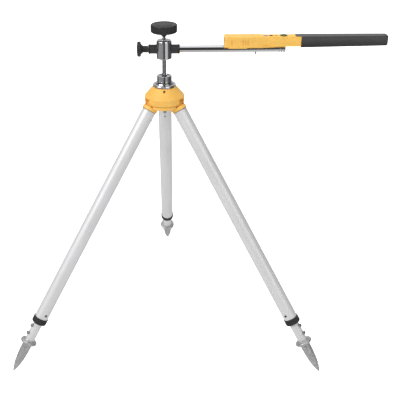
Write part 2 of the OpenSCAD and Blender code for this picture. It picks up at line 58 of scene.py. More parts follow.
# Base colours, in linear RGB.
YELLOW = (0.90, 0.50, 0.095)
BLACK = (0.017, 0.017, 0.019)
CHARCOAL = (0.022, 0.021, 0.023)
# Painted light: the lighter charcoal painted on the grip's top.
CHARCOAL_PAINTED_LIGHT = (0.062, 0.060, 0.063)
CHARCOAL_DARK = (0.018, 0.018, 0.019)
SWITCH_GREY = (0.26, 0.265, 0.27)
RUBBER_DUST = (0.10, 0.098, 0.092)
CHROME = (0.80, 0.80, 0.82)
CHROME_GRAZING = (0.72, 0.72, 0.74, 1)
ALUMINIUM = (0.78, 0.78, 0.79)
STEEL = (0.42, 0.425, 0.44)
SPIKE_STEEL = (0.53, 0.53, 0.535)
SPIKE_EDGE = (0.68, 0.68, 0.69)
BRASS = (0.60, 0.44, 0.16)
SOLDER_MASK = (0.012, 0.10, 0.03)
COPPER_RUN = (0.05, 0.22, 0.08)
WRAP_BLACK = (0.03, 0.03, 0.035)
WRAP_GOLD = (0.6, 0.42, 0.12)
RED_WINDOW = (0.75, 0.05, 0.05)
VIAL_GREEN = (0.35, 0.72, 0.10)
BUBBLE = (0.85, 0.95, 0.70)

# Heights in mm over which the grip's colour is painted lighter towards its top: painted light for
# its rounded side.
GRIP_PAINTED_LIGHT = {"start": 955, "end": 975}

# How sharp an edge has to be before its finish starts to wear, and when it is worn through.
WEAR = {"start": 0.53, "end": 0.62}

# A Mix node's colour sockets share their names with its number sockets, so they go by number.
MIX_FIRST, MIX_SECOND, MIX_RESULT = 6, 7, 2


class Shader:
    """A node material under construction, in the object's own coordinates, in millimetres."""

    def __init__(self, name, tilt=(0, 0, 0)):
        self.material = bpy.data.materials.new(name)
        self.material.use_nodes = True
        self.tree = self.material.node_tree
        self.surface = self.tree.nodes["Principled BSDF"]
        place = self.node("ShaderNodeTexCoord")
        in_mm = self.node("ShaderNodeMapping")
        in_mm.inputs["Scale"].default_value = (1 / MM,) * 3
        turn = self.node("ShaderNodeVectorRotate", rotation_type="EULER_XYZ")
        turn.inputs["Rotation"].default_value = tilt
        self.link(place.outputs["Object"], turn.inputs["Vector"])
        self.link(turn.outputs["Vector"], in_mm.inputs["Vector"])
        self.coords = in_mm.outputs["Vector"]

    def node(self, kind, **settings):
        made = self.tree.nodes.new(kind)
        for key, value in settings.items():
            setattr(made, key, value)
        return made

    def link(self, source, target):
        self.tree.links.new(source, target)

    def noise(self, size, detail=3.0, stretch=(1, 1, 1)):
        """Cloudy noise whose features are `size` mm across, longer along an axis by its stretch."""
        squeeze = self.node("ShaderNodeVectorMath", operation="DIVIDE")
        self.link(self.coords, squeeze.inputs[0])
        squeeze.inputs[1].default_value = [size * s for s in stretch]
        made = self.node("ShaderNodeTexNoise")
        made.inputs["Scale"].default_value = 1.0
        made.inputs["Detail"].default_value = detail
        self.link(squeeze.outputs["Vector"], made.inputs["Vector"])
        return made.outputs["Fac"]

    def cells(self, size):
        """Small rounded cells about `size` mm across, as left by spark erosion or casting sand."""
        made = self.node("ShaderNodeTexVoronoi", feature="SMOOTH_F1")
        made.inputs["Scale"].default_value = 1 / size
        self.link(self.coords, made.inputs["Vector"])
        return made.outputs["Distance"]

    def levels(self, value, low=0, high=1, start=0.3, end=0.7):
        """Rescales a value so that start becomes low and end becomes high, and clips the rest."""
        made = self.node("ShaderNodeMapRange")
        ranges = {"From Min": start, "From Max": end, "To Min": low, "To Max": high}
        for key, number in ranges.items():
            made.inputs[key].default_value = number
        self.link(value, made.inputs["Value"])
        return made.outputs["Result"]

    def blend(self, factor, first, second):
        """A colour that runs from first to second. Each is a tuple or another node's output."""
        made = self.node("ShaderNodeMix", data_type="RGBA")
        self.link(factor, made.inputs["Factor"])
        for key, colour in ((MIX_FIRST, first), (MIX_SECOND, second)):
            if isinstance(colour, tuple):
                made.inputs[key].default_value = (*colour, 1)
            else:
                self.link(colour, made.inputs[key])
        return made.outputs[MIX_RESULT]

    def bump(self, height, depth_mm, below=None):
        """Surface relief of the given depth, on top of the relief below it."""
        made = self.node("ShaderNodeBump")
        made.inputs["Distance"].default_value = depth_mm * MM
        self.link(height, made.inputs["Height"])
        if below is not None:
            self.link(below, made.inputs["Normal"])
        return made.outputs["Normal"]

    def worn_edges(self, colour, bare):
        """Lightens sharp outer edges in patches, where handling has rubbed the finish."""
        shape = self.node("ShaderNodeNewGeometry")
        broken = self.noise(size=4)
        patchy = self.node("ShaderNodeMath", operation="MULTIPLY")
        sharp = self.levels(shape.outputs["Pointiness"], high=0.7, **WEAR)
        self.link(sharp, patchy.inputs[0])
        self.link(self.levels(broken, start=0.4, end=0.6), patchy.inputs[1])
        return self.blend(patchy.outputs["Value"], colour, bare)

    def finish(self, colour, roughness, normal=None, **values):
        """Wires up the surface and gives the finished material. Other inputs go by their name."""
        for key, source in (("Base Color", colour), ("Roughness", roughness), ("Normal", normal)):
            if source is not None:
                self.link(source, self.surface.inputs[key])
        for key, value in values.items():
            self.surface.inputs[key.replace("_", " ")].default_value = value
        return self.material


def scaled(colour, by):
    """A lighter or darker version of a colour."""
    return tuple(min(1.0, channel * by) for channel in colour)


def powder_coat():
    """Satin yellow powder coat on a casting: orange peel, fine dark speckle and rubbed edges."""
    s = Shader("powder_coat")
    tone = s.blend(s.levels(s.noise(size=38)), scaled(YELLOW, 0.90), scaled(YELLOW, 1.06))
    speckle = s.levels(s.noise(size=0.7, detail=2), high=0.16, start=0.45, end=0.75)
    tone = s.blend(speckle, tone, scaled(YELLOW, 0.6))
    tone = s.worn_edges(tone, scaled(YELLOW, 1.25))
    peel = s.bump(s.noise(size=1.6, detail=1), depth_mm=0.05)
    roughness = s.levels(s.noise(size=9), low=0.36, high=0.52)
    return s.finish(tone, roughness, peel, Coat_Weight=0.12, Coat_Roughness=0.3)


def yellow_moulding():
    """Yellow moulded plastic: a spark-eroded grain with faint flow marks along the tool."""
    s = Shader("yellow_moulding")
    flow = s.levels(s.noise(size=16, detail=3, stretch=(5, 1, 1)))
    tone = s.blend(flow, scaled(YELLOW, 0.92), scaled(YELLOW, 1.05))
    tone = s.worn_edges(tone, scaled(YELLOW, 1.2))
    grain = s.bump(s.cells(size=0.7), depth_mm=0.03)
    roughness = s.levels(s.noise(size=7), low=0.40, high=0.56)
    return s.finish(tone, roughness, grain, Subsurface_Weight=0.04)


def hard_moulding(name, tone, gloss):
    """Glass-filled plastic: grained, with rubbed lighter edges. A lower gloss is shinier."""
    s = Shader(name)
    colour = s.blend(s.levels(s.noise(size=12)), scaled(tone, 0.75), scaled(tone, 1.5))
    colour = s.worn_edges(colour, scaled(tone, 3.4))
    grain = s.bump(s.cells(size=0.8), depth_mm=0.05)
    return s.finish(colour, s.levels(s.noise(size=5), low=gloss, high=gloss + 0.14), grain)


def soft_rubber():
    """Matt black rubber with a film of pale dust."""
    s = Shader("soft_rubber")
    dust = s.levels(s.noise(size=6, detail=5), high=0.35, start=0.45, end=0.8)
    colour = s.blend(dust, BLACK, RUBBER_DUST)
    roughness = s.levels(s.noise(size=3), low=0.62, high=0.8)
    return s.finish(colour, roughness, s.bump(s.noise(size=0.9, detail=4), depth_mm=0.06))


def grip_rubber():
    """Charcoal soft-touch overmould on the grip: fine leathery grain, and painted light that makes
    it lighter towards its top.
    """
    s = Shader("grip_rubber")
    place = s.node("ShaderNodeSeparateXYZ")
    s.link(s.coords, place.inputs["Vector"])
    # Painted light: the colour runs from charcoal low down to a lighter charcoal at the top.
    base = s.blend(s.levels(place.outputs["Z"], **GRIP_PAINTED_LIGHT), CHARCOAL, CHARCOAL_PAINTED_LIGHT)
    mottle = s.levels(s.noise(size=14, detail=4, stretch=(4, 1, 1)), high=0.35)
    colour = s.blend(mottle, base, CHARCOAL_DARK)
    fine = s.bump(s.noise(size=0.4, detail=2), depth_mm=0.02)
    grain = s.bump(s.cells(size=1.1), depth_mm=0.09, below=fine)
    return s.finish(colour, s.levels(s.noise(size=6), low=0.30, high=0.42), grain)


def bright_chrome():
    """Polished chrome plate: faint haze, hairline scratches and the plating's slight ripple."""
    s = Shader("bright_chrome")
    colour = s.blend(s.levels(s.noise(size=10)), scaled(CHROME, 0.93), CHROME)
    hairline = s.noise(size=0.5, detail=3, stretch=(12, 1, 1))
    haze = s.levels(s.noise(size=7, detail=4), low=0.05, high=0.14)
    ripple = s.bump(s.noise(size=5, detail=1), depth_mm=0.02)
    relief = s.bump(hairline, depth_mm=0.004, below=ripple)
    return s.finish(colour, haze, relief, Metallic=1.0, Specular_Tint=CHROME_GRAZING)


def anodised(name, tilt):
    """Light satin anodised tube: extrusion lines run down its length, under soft blotches."""
    s = Shader(name, tilt)
    lines = s.noise(size=0.6, detail=3, stretch=(1, 1, 260))
    tone = s.blend(s.levels(lines), scaled(ALUMINIUM, 0.94), scaled(ALUMINIUM, 1.08))
    blotches = s.levels(s.noise(size=28, detail=4, stretch=(1, 1, 4)), high=0.35)
    tone = s.blend(blotches, tone, scaled(ALUMINIUM, 0.84))
    roughness = s.levels(s.noise(size=14, detail=3, stretch=(1, 1, 5)), low=0.48, high=0.6)
    return s.finish(tone, roughness, s.bump(lines, depth_mm=0.012), Metallic=0.45)


def turned_steel():
    """Turned steel with fine tool marks and a little darkening."""
    s = Shader("turned_steel")
    marks = s.noise(size=0.3, detail=2, stretch=(3, 3, 1))
    tone = s.blend(s.levels(s.noise(size=6, detail=4)), scaled(STEEL, 0.75), scaled(STEEL, 1.15))
    roughness = s.levels(s.noise(size=3), low=0.22, high=0.36)
    return s.finish(tone, roughness, s.bump(marks, depth_mm=0.01), Metallic=1.0)


def forged_steel():
    """Forged and zinc-coated spike steel: sandy skin, dark pits and a spangled grey."""
    s = Shader("forged_steel")
    spangle = s.levels(s.cells(size=6), start=0.1, end=0.8)
    tone = s.blend(spangle, scaled(SPIKE_STEEL, 0.8), scaled(SPIKE_STEEL, 1.25))
    pits = s.levels(s.noise(size=2.2, detail=5), high=0.6, start=0.55, end=0.75)
    tone = s.blend(pits, tone, scaled(SPIKE_STEEL, 0.38))
    tone = s.worn_edges(tone, SPIKE_EDGE)
    dents = s.bump(s.cells(size=3), depth_mm=0.1)
    skin = s.bump(s.noise(size=1.3, detail=6), depth_mm=0.16, below=dents)
    return s.finish(tone, s.levels(s.noise(size=5), low=0.34, high=0.55), skin, Metallic=0.8)


def brass():
    """Bare brass, unevenly darkened."""
    s = Shader("bare_brass")
    tone = s.blend(s.levels(s.noise(size=4, detail=4)), scaled(BRASS, 0.7), BRASS)
    roughness = s.levels(s.noise(size=2), low=0.25, high=0.45)
    return s.finish(tone, roughness, s.bump(s.noise(size=0.3), depth_mm=0.01), Metallic=1.0)


def tinted_glass(name, colour, clearness):
    """Clear coloured glass or liquid with faint internal cloud."""
    s = Shader(name)
    tone = s.blend(s.levels(s.noise(size=3)), colour, scaled(colour, 0.85))
    roughness = s.levels(s.noise(size=6), low=0.02, high=0.08)
    return s.finish(tone, roughness, Transmission_Weight=clearness, IOR=1.45)


def circuit_green():
    """Solder mask with lighter copper runs under it."""
    s = Shader("circuit_green")
    runs = s.node("ShaderNodeTexBrick")
    runs.inputs["Scale"].default_value = 0.35
    runs.inputs["Mortar Size"].default_value = 0.08
    s.link(s.coords, runs.inputs["Vector"])
    tone = s.blend(runs.outputs["Fac"], SOLDER_MASK, COPPER_RUN)
    roughness = s.levels(s.noise(size=2), low=0.25, high=0.4)
    return s.finish(tone, roughness, s.bump(runs.outputs["Fac"], depth_mm=0.03))


def cell_wrap():
    """Foil sleeve on the cells: gold with a dark band, lightly creased."""
    s = Shader("cell_wrap")
    bands = s.node("ShaderNodeTexWave", wave_type="BANDS", bands_direction="X")
    bands.inputs["Scale"].default_value = 0.0063
    bands.inputs["Distortion"].default_value = 0.0
    s.link(s.coords, bands.inputs["Vector"])
    tone = s.blend(s.levels(bands.outputs["Fac"], start=0.45, end=0.55), WRAP_BLACK, WRAP_GOLD)
    roughness = s.levels(s.noise(size=3), low=0.25, high=0.4)
    creases = s.bump(s.noise(size=2, detail=4), depth_mm=0.03)
    return s.finish(tone, roughness, creases, Metallic=0.6)


LOOKS = {
    "powder_coat": powder_coat(),
    "yellow_moulding": yellow_moulding(),
    "black_moulding": hard_moulding("black_moulding", BLACK, gloss=0.36),
    "grey_moulding": hard_moulding("grey_moulding", SWITCH_GREY, gloss=0.3),
    "soft_rubber": soft_rubber(),
    "grip_rubber": grip_rubber(),
    "bright_chrome": bright_chrome(),
    "turned_steel": turned_steel(),
    "forged_steel": forged_steel(),
    "brass": brass(),
    "red_glass": tinted_glass("red_glass", RED_WINDOW, clearness=0.7),
    "vial_liquid": tinted_glass("vial_liquid", VIAL_GREEN, clearness=0.55),
    "bubble": tinted_glass("bubble", BUBBLE, clearness=0.8),
    "circuit_green": circuit_green(),
    "cell_wrap": cell_wrap(),
}
for side, azimuth in LEG_AZIMUTHS.items():
    # Turns the object's coordinates so that Z runs down this leg's tube.
    to_leg = Matrix.Rotation(-math.radians(azimuth), 3, "Z")
    upright = (Matrix.Rotation(LEG_LEAN, 3, "Y") @ to_leg).to_euler()
    LOOKS[side + "_anodised"] = anodised(side + "_anodised", tuple(upright))

NODE_LOOKS = {
    "powder_coat": ["head_cap", "head_base"],
    "yellow_moulding": ["laser_housing", "laser_base", "laser_cradle"],
    "bright_chrome": ["post_flange", "lock_nut", "clamp_block", "arm_rod", "arm_end_cap"],
    "black_moulding": ["clamp_knob", "arm_sleeve", "end_knob", "lens_bezel", "mode_switch",
                       "vial_ring"],
    "grip_rubber": ["battery_grip", "battery_cap"],
    "turned_steel": ["head_screws", "hinge_pins", "post", "clamp_stud", "end_knob_stud",
                     "cradle_bolt"],
    "grey_moulding": ["power_button"],
    "brass": ["clamp_pad", "laser_module", "front_contact", "rear_contact"],
    "red_glass": ["lens_window"],
    "vial_liquid": ["level_vial"],
    "circuit_green": ["circuit_board"],
    "cell_wrap": ["batteries"],
}
LEG_NODE_LOOKS = {
    "leg_socket": "powder_coat", "leg_screws": "turned_steel", "tube_bush": "black_moulding",
    "lock_collar": "soft_rubber", "guide_ring": "black_moulding", "foot_spike": "forged_steel",
    "foot_bolts": "turned_steel",
}
for side in LEG_AZIMUTHS:
    for ending, look in LEG_NODE_LOOKS.items():
        NODE_LOOKS.setdefault(look, []).append(side + "_" + ending)
    NODE_LOOKS[side + "_anodised"] = [side + "_leg_tube", side + "_inner_tube"]
for look, nodes in NODE_LOOKS.items():
    for name in nodes:
        mesh = frame["nodes"][name].data
        mesh.materials.clear()
        mesh.materials.append(LOOKS[look])


# ---- Mesh helpers ----

# Points closer than this, in mm, become one. Edges that turn more than the angle stay sharp.
SAME_POINT = 0.002
SHARP_ANGLE = math.radians(38)
# A direction that no tube here runs along, to start its cross-section from.
OFF_AXIS = Vector((0.13, 0.21, 0.97))


def piece(name, vertices, faces, body, look, slot, place=Matrix.Identity(4), smooth=True):
    """Makes a mesh piece from points in millimetres, put in place and riding on its body."""
    mesh = bpy.data.meshes.new(name)
    mesh.from_pydata([place @ Vector(v) * MM for v in vertices], [], faces)
    clean = bmesh.new()
    clean.from_mesh(mesh)
    bmesh.ops.remove_doubles(clean, verts=clean.verts, dist=SAME_POINT * MM)
    bmesh.ops.recalc_face_normals(clean, faces=clean.faces)
    clean.to_mesh(mesh)
    clean.free()
    if smooth:
        mesh.shade_smooth()
        mesh.set_sharp_from_angle(angle=SHARP_ANGLE)
    mesh.materials.append(LOOKS[look])
    made = bpy.data.objects.new(name, mesh)
    bpy.context.scene.collection.objects.link(made)
    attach(made, body)


def lathe(profile, steps):
    """Points and faces of a closed (radius, z) profile turned round Z."""
    vertices, faces = [], []
    count = len(profile)
    for i in range(steps):
        turn = 2 * math.pi * i / steps
        vertices += [(r * math.cos(turn), r * math.sin(turn), z) for r, z in profile]
        for j in range(count):
            a, b = i * count, (i + 1) % steps * count
            k = (j + 1) % count
            faces.append((a + j, b + j, b + k, a + k))
    return vertices, faces


def arc(centre_x, centre_y, radius, start, steps):
    """Points of a quarter circle that begins at the start angle, in degrees."""
    points = []
    for i in range(steps + 1):
        angle = math.radians(start + 90 * i / steps)
        points.append((centre_x + radius * math.cos(angle), centre_y + radius * math.sin(angle)))
    return points


def rounded(inner, outer, bottom, top, round_by):
    """Profile of a ring between two radii and two heights, with its outer corners rounded."""
    points = [(inner, bottom)]
    points += arc(outer - round_by, bottom + round_by, round_by, -90, steps=4)
    points += arc(outer - round_by, top - round_by, round_by, 0, steps=4)
    return points + [(inner, top)]


def tube(path, radius, sides, closed=False):
    """Points and faces of a round tube along a path of points."""
    vertices, faces = [], []
    count = len(path)
    for i, point in enumerate(path):
        before = Vector(path[i - 1] if i or closed else path[0])
        after = Vector(path[(i + 1) % count] if i < count - 1 or closed else path[-1])
        along = (after - before).normalized()
        across = along.cross(OFF_AXIS).normalized()
        up = along.cross(across)
        for k in range(sides):
            turn = 2 * math.pi * k / sides
            offset = radius * (math.cos(turn) * across + math.sin(turn) * up)
            vertices.append(tuple(Vector(point) + offset))
    for i in range(count if closed else count - 1):
        a, b = i * sides, (i + 1) % count * sides
        faces += [(a + k, a + (k + 1) % sides, b + (k + 1) % sides, b + k) for k in range(sides)]
    if not closed:
        faces += [tuple(range(sides)), tuple(range((count - 1) * sides, count * sides))]
    return vertices, faces


def pad(length, width, height, corner):
    """A low pillow: rounded-rectangle outline on the floor, rolled over to a flat top."""
    quarters = ((1, 1, 0), (-1, 1, 90), (-1, -1, 180), (1, -1, 270))
    levels = ((0, 0), (0, height * 0.55), (height * 0.15, height * 0.85), (height * 0.5, height))
    vertices = []
    for inset, z in levels:
        ring = []
        for sx, sy, start in quarters:
            reach = max(corner - inset, 0.05)
            middle = (sx * (length / 2 - corner), sy * (width / 2 - corner))
            ring += [(x, y, z) for x, y in arc(*middle, reach, start, steps=5)]
        vertices += ring
    count = len(ring)
    faces = []
    for r in range(len(levels) - 1):
        a, b = r * count, (r + 1) * count
        faces += [(a + i, a + (i + 1) % count, b + (i + 1) % count, b + i) for i in range(count)]
    faces += [tuple(range(count)), tuple(range((len(levels) - 1) * count, len(levels) * count))]
    return vertices, faces


def joined(*parts):
    """Several (vertices, faces) in one, each with its own placing matrix."""
    vertices, faces = [], []
    for (points, polygons), place in parts:
        offset = len(vertices)
        vertices += [tuple(place @ Vector(p)) for p in points]
        faces += [tuple(offset + i for i in polygon) for polygon in polygons]
    return vertices, faces


def at(x, y, z, turn=0, axis="Z"):
    """A place, with a turn in degrees about one axis before the move."""
    return Matrix.Translation((x, y, z)) @ Matrix.Rotation(math.radians(turn), 4, axis)


def size_mm(node):
    """A node's lowest and highest corners at rest, in millimetres."""
    low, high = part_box(node)
    return [v / MM for v in low], [v / MM for v in high]


def leg_place(side):
    """A leg's own frame in millimetres: origin on its hinge, -Z down the leg, +X outward."""
    hinge = Vector(JOINTS[side + "_leg_fold"]["pos_m"]) / MM
    turn = Matrix.Rotation(math.radians(LEG_AZIMUTHS[side]), 4, "Z")
    return Matrix.Translation(hinge) @ turn @ Matrix.Rotation(-LEG_LEAN, 4, "Y")


# ---- Details on the stand ----

BLOCK_TOP = size_mm("clamp_block")[1][2]
KNOB_LOW, KNOB_HIGH = size_mm("clamp_knob")
NUT_LOW, NUT_HIGH = size_mm("lock_nut")
SLEEVE_LOW, SLEEVE_HIGH = size_mm("arm_sleeve")
END_KNOB_FACE = size_mm("end_knob")[0][0]
ARM_Z = (SLEEVE_LOW[2] + SLEEVE_HIGH[2]) / 2
STUD_R = 4.5
PITCH = 1.5
THREAD_R = 0.42
THREAD_STEPS = 28

# Radii of the leg's tubes. Distances down the leg from its hinge start from the tip's.
TUBE_R = 21
INNER_R = 14.5
TIP_S = JOINTS["left_leg_fold"]["pos_m"][2] / MM / math.cos(LEG_LEAN)
FOOT_S = TIP_S - 115
BUSH_SCREW_S = FOOT_S - 94
SHOULDER_S = 30
# The two foot bolts' heights over the tread flange, and how far out their heads' faces are.
BOLTS_UP = (46, 20)
BOLT_FACE_R = INNER_R + 6.4
# The weld bead under the tread flange: ring radius, thickness, and its ripples.
WELD_R = INNER_R + 4.2
WELD_S = FOOT_S + 2.8
BEAD_R = 1.3
BEAD_STEPS = 96
RIPPLES = 24
RIPPLE_HIGH = 0.25


def stud_thread():
    """The screw thread on the stud's bare stretch between the block and the knob."""
    low, high = BLOCK_TOP + 0.9, KNOB_LOW[2] - 0.5
    turns = (high - low) / PITCH
    steps = int(turns * THREAD_STEPS)
    path = []
    for i in range(steps + 1):
        angle = 2 * math.pi * turns * i / steps
        z = low + (high - low) * i / steps
        path.append((STUD_R * math.cos(angle), STUD_R * math.sin(angle), z))
    piece("stud_thread", *tube(path, THREAD_R, sides=6), "clamp_knob", "turned_steel", "steel")


def knob_face():
    """A smooth, slightly domed insert that fills the big knob's dished top."""
    bore, radius = 0.2, 23.1
    rim, centre = KNOB_HIGH[2] - 1.5, KNOB_HIGH[2] + 0.5
    edge = rim + 0.5
    dome = [(bore, rim)]
    for degrees in range(0, 91, 9):
        slope = math.radians(degrees)
        across, rise = (radius - bore) * math.sin(slope), (centre - edge) * math.cos(slope)
        dome.append((bore + across, edge + rise))
    dome.append((radius, rim))
    piece("knob_insert", *lathe(dome, steps=72), "clamp_knob", "black_moulding", "black_plastic")


def end_knob_face():
    """A ringed disc set in the end knob's flat face."""
    disc = [(0.2, -0.8), (0.2, 0.9), (6, 0.9), (6.6, 0.5), (8.6, 0.5), (9.2, 0.9), (12, 0.8),
            (12.6, 0.2), (12.6, -0.8)]
    piece("end_knob_disc", *lathe(disc, steps=56), "end_knob", "black_moulding", "black_plastic",
          at(END_KNOB_FACE, 0, ARM_Z, -90, "Y"))


def nut_details():
    """Grub screws in the lock nut's side, and a wiper ring round the post on its top."""
    grub = [(0.9, 0.2), (1.9, 0.2), (1.9, 3.1), (1.6, 3.4), (1.1, 3.4), (0.95, 2.2)]
    seat = at(17, 0, NUT_LOW[2] + 10, 90, "Y")
    screws = [(lathe(grub, steps=20), at(0, 0, 0, 42.5 + 90 * i) @ seat) for i in range(4)]
    piece("nut_grub_screws", *joined(*screws), "lock_nut", "turned_steel", "steel")
    top = NUT_HIGH[2]
    wiper = rounded(inner=6.3, outer=8.1, bottom=top - 1.7, top=top - 0.1, round_by=0.7)
    piece("post_wiper_ring", *lathe(wiper, steps=48), "lock_nut", "soft_rubber", "black_rubber")


def sleeve_lips():
    """Rolled lips on both ends of the black sleeve."""
    radius = (SLEEVE_HIGH[2] - SLEEVE_LOW[2]) / 2
    lip = rounded(inner=radius - 0.6, outer=radius + 0.7, bottom=0, top=4.5, round_by=0.6)
    starts = (SLEEVE_LOW[0] + 0.4, SLEEVE_HIGH[0] - 4.9)
    ends = [(lathe(lip, steps=56), at(x, 0, ARM_Z, 90, "Y")) for x in starts]
    piece("sleeve_lips", *joined(*ends), "sleeve", "black_moulding", "black_plastic")


def block_washer():
    """A chrome thrust washer round the stud where it enters the block."""
    washer = rounded(inner=STUD_R + 0.35, outer=9.5, bottom=BLOCK_TOP - 0.1, top=BLOCK_TOP + 0.7,
                     round_by=0.3)
    piece("block_top_washer", *lathe(washer, steps=48), "clamp", "bright_chrome", "chrome")


def leg_details(side):
    """Dark cups of painted shade in the foot bolts' sockets, the weld bead, screw plugs, and a dark
    ring of painted shade below the leg's socket.
    """
    place = leg_place(side)
    # Painted shade: dark hex cups on the foot bolts' faces stand for the shade in their sockets.
    socket = lathe(rounded(inner=1.2, outer=2.6, bottom=0, top=0.45, round_by=0.2), steps=6)
    socket_shade_cups = [(socket, at(BOLT_FACE_R, 0, -(FOOT_S - up), 90, "Y")) for up in BOLTS_UP]
    piece(side + "_bolt_socket_shade", *joined(*socket_shade_cups), side + "_foot", "black_moulding", "steel",
          place, smooth=False)

    bead = []
    for i in range(BEAD_STEPS):
        angle = 2 * math.pi * i / BEAD_STEPS
        ripple = RIPPLE_HIGH * math.sin(angle * RIPPLES)
        radius = WELD_R + ripple
        z = ripple * 0.4 - WELD_S
        bead.append((radius * math.cos(angle), radius * math.sin(angle), z))
    piece(side + "_weld_bead", *tube(bead, BEAD_R, sides=8, closed=True), side + "_foot",
          "forged_steel", "spike_steel", place)

    plug = lathe([(0.1, 0), (3.3, 0), (3.3, 0.5), (2.6, 0.75), (0.1, 0.75)], steps=24)
    plugs = []
    for way in (-90, 90):
        plugs.append((plug, at(0, 0, -BUSH_SCREW_S, way, "X") @ at(0, 0, TUBE_R - 0.5)))
    piece(side + "_cross_screw_plugs", *joined(*plugs), side + "_leg", "soft_rubber",
          "black_rubber", place)

    # Painted shade: a dark rubber ring below the socket stands for the shade where the socket's
    # shoulder meets the tube.
    ring = rounded(inner=TUBE_R - 0.4, outer=TUBE_R + 0.9, bottom=0, top=1.6, round_by=0.6)
    shade_band = lathe([(r, -SHOULDER_S - z) for r, z in ring], steps=64)
    piece(side + "_socket_gap_shade", *shade_band, side + "_leg", "soft_rubber", "black_rubber", place)


stud_thread()
knob_face()
end_knob_face()
nut_details()
sleeve_lips()
block_washer()
for side in LEG_AZIMUTHS:
    leg_details(side)


# ---- Details on the instrument ----

HOUSING_LOW, HOUSING_HIGH = size_mm("laser_housing")
HOUSING_TOP = HOUSING_HIGH[2]
GRIP_LOW, GRIP_HIGH = size_mm("battery_grip")
CAP_LOW, CAP_HIGH = size_mm("battery_cap")
VIAL_LOW, VIAL_HIGH = size_mm("level_vial")
BUTTON_LOW, BUTTON_HIGH = size_mm("power_button")
SWITCH_LOW, SWITCH_HIGH = size_mm("mode_switch")

# The grip's finger ribs: how many, the first one's place along the grip, and their spacing.
RIBS = 24
FIRST_RIB = 40
RIB_PITCH = 7.6
# The grip's half width at its start, how much it narrows and how far its middle rises.
GRIP_HALF = 16
GRIP_TAPER = 2.8
GRIP_RISE = 1.5
RIB_SINK = 0.35


def vial_details():
    """The bubble under the vial's dome and its two sighting rings."""
    x, y = [(a + b) / 2 for a, b in zip(VIAL_LOW[:2], VIAL_HIGH[:2])]
    top = VIAL_HIGH[2]
    bubble = [(0.05, top - 1.6), (1.4, top - 1.5), (2.1, top - 0.9), (1.5, top - 0.3),
              (0.05, top - 0.1)]
    piece("vial_bubble", *lathe(bubble, steps=32), "arm", "bubble", "vial", at(x + 0.8, 0.5, 0))
    rings = []
    for radius, drop in ((2.6, 0.35), (5.0, 1.1)):
        ring = rounded(radius, radius + 0.35, top - drop, top - drop + 0.5, round_by=0.15)
        rings.append((lathe(ring, steps=48), at(x, y, 0)))
    piece("vial_rings", *joined(*rings), "arm", "black_moulding", "black_plastic")


def button_bezel():
    """A grey ring round the button and a red dot on it."""
    place = at((BUTTON_LOW[0] + BUTTON_HIGH[0]) / 2, 0, 0)
    ring = rounded(inner=4.75, outer=6.6, bottom=HOUSING_TOP - 0.2, top=HOUSING_TOP + 0.9,
                   round_by=0.5)
    piece("button_bezel", *lathe(ring, steps=48), "arm", "grey_moulding", "grey_plastic", place)
    top = BUTTON_HIGH[2]
    dot = [(0.05, top - 0.3), (1.1, top - 0.3), (1.0, top + 0.15), (0.05, top + 0.25)]
    piece("button_dot", *lathe(dot, steps=24), "button", "red_glass", "window", place)


def status_light():
    """A small domed light beyond the switch, in a dark surround."""
    place = at(SWITCH_HIGH[0] + 12, 0, HOUSING_TOP)
    dome = [(0.05, -0.2), (1.6, -0.2), (1.6, 0.3), (1.1, 0.8), (0.05, 1.0)]
    piece("status_light", *lathe(dome, steps=28), "arm", "vial_liquid", "vial", place)
    surround = rounded(inner=1.7, outer=2.6, bottom=-0.1, top=0.5, round_by=0.2)
    piece("status_surround", *lathe(surround, steps=28), "arm", "black_moulding",
          "black_plastic", place)


def ridges(offsets, width, x, top):
    """Thumb ridges across X, each a low bar, ready to join."""
    return [(pad(0.8, width, 0.6, 0.35), at(x + offset, 0, top)) for offset in offsets]


def switch_ridges():
    """Thumb ridges on the slide switch."""
    x = (SWITCH_LOW[0] + SWITCH_HIGH[0]) / 2
    bars = ridges((-2.2, -0.75, 0.75, 2.2), width=6.4, x=x, top=SWITCH_HIGH[2] - 0.1)
    piece("switch_ridges", *joined(*bars), "switch", "black_moulding", "black_plastic")


def grip_ribs():
    """Low finger ribs on both sides of the grip."""
    rib = pad(length=2.6, width=15, height=0.8, corner=1.2)
    ribs = []
    for i in range(RIBS):
        x = GRIP_LOW[0] + FIRST_RIB + i * RIB_PITCH
        share = (x - GRIP_LOW[0]) / (GRIP_HIGH[0] - GRIP_LOW[0])
        reach = GRIP_HALF - GRIP_TAPER * share - RIB_SINK
        z = (GRIP_LOW[2] + GRIP_HIGH[2]) / 2 + GRIP_RISE * share
        ribs += [(rib, at(x, side * reach, z, side * -90, "X")) for side in (-1, 1)]
    piece("grip_side_ribs", *joined(*ribs), "arm", "grip_rubber", "black_plastic")


def cap_latch():
    """The spring latch on top of the end cap, with two thumb ridges."""
    x = (CAP_LOW[0] + CAP_HIGH[0]) / 2 + 3
    top = CAP_HIGH[2] - 0.9
    latch = [(pad(length=6, width=12, height=1.4, corner=1.8), at(x, 0, top))]
    latch += ridges((-1.3, 1.3), width=9, x=x, top=top + 1.2)
    piece("cap_latch", *joined(*latch), "cap", "black_moulding", "black_plastic")


def housing_screws():
    """Low countersunk screws at the corners of the housing's top."""
    profile = rounded(inner=0.9, outer=2.2, bottom=-0.2, top=0.15, round_by=0.1)
    corners = ((10, 13), (10, -13), (86, 14.5), (86, -14.5))
    screws = []
    for x, y in corners:
        screws.append((lathe(profile, steps=24), at(HOUSING_LOW[0] + x, y, HOUSING_TOP)))
    piece("housing_screws", *joined(*screws), "arm", "turned_steel", "steel")


vial_details()
button_bezel()
status_light()
switch_ridges()
grip_ribs()
cap_latch()
housing_screws()


# ---- Studio ----

# The light that comes from all round, and the overexposed white that the camera sees.
AMBIENT = 0.66
BACKDROP = 1.45
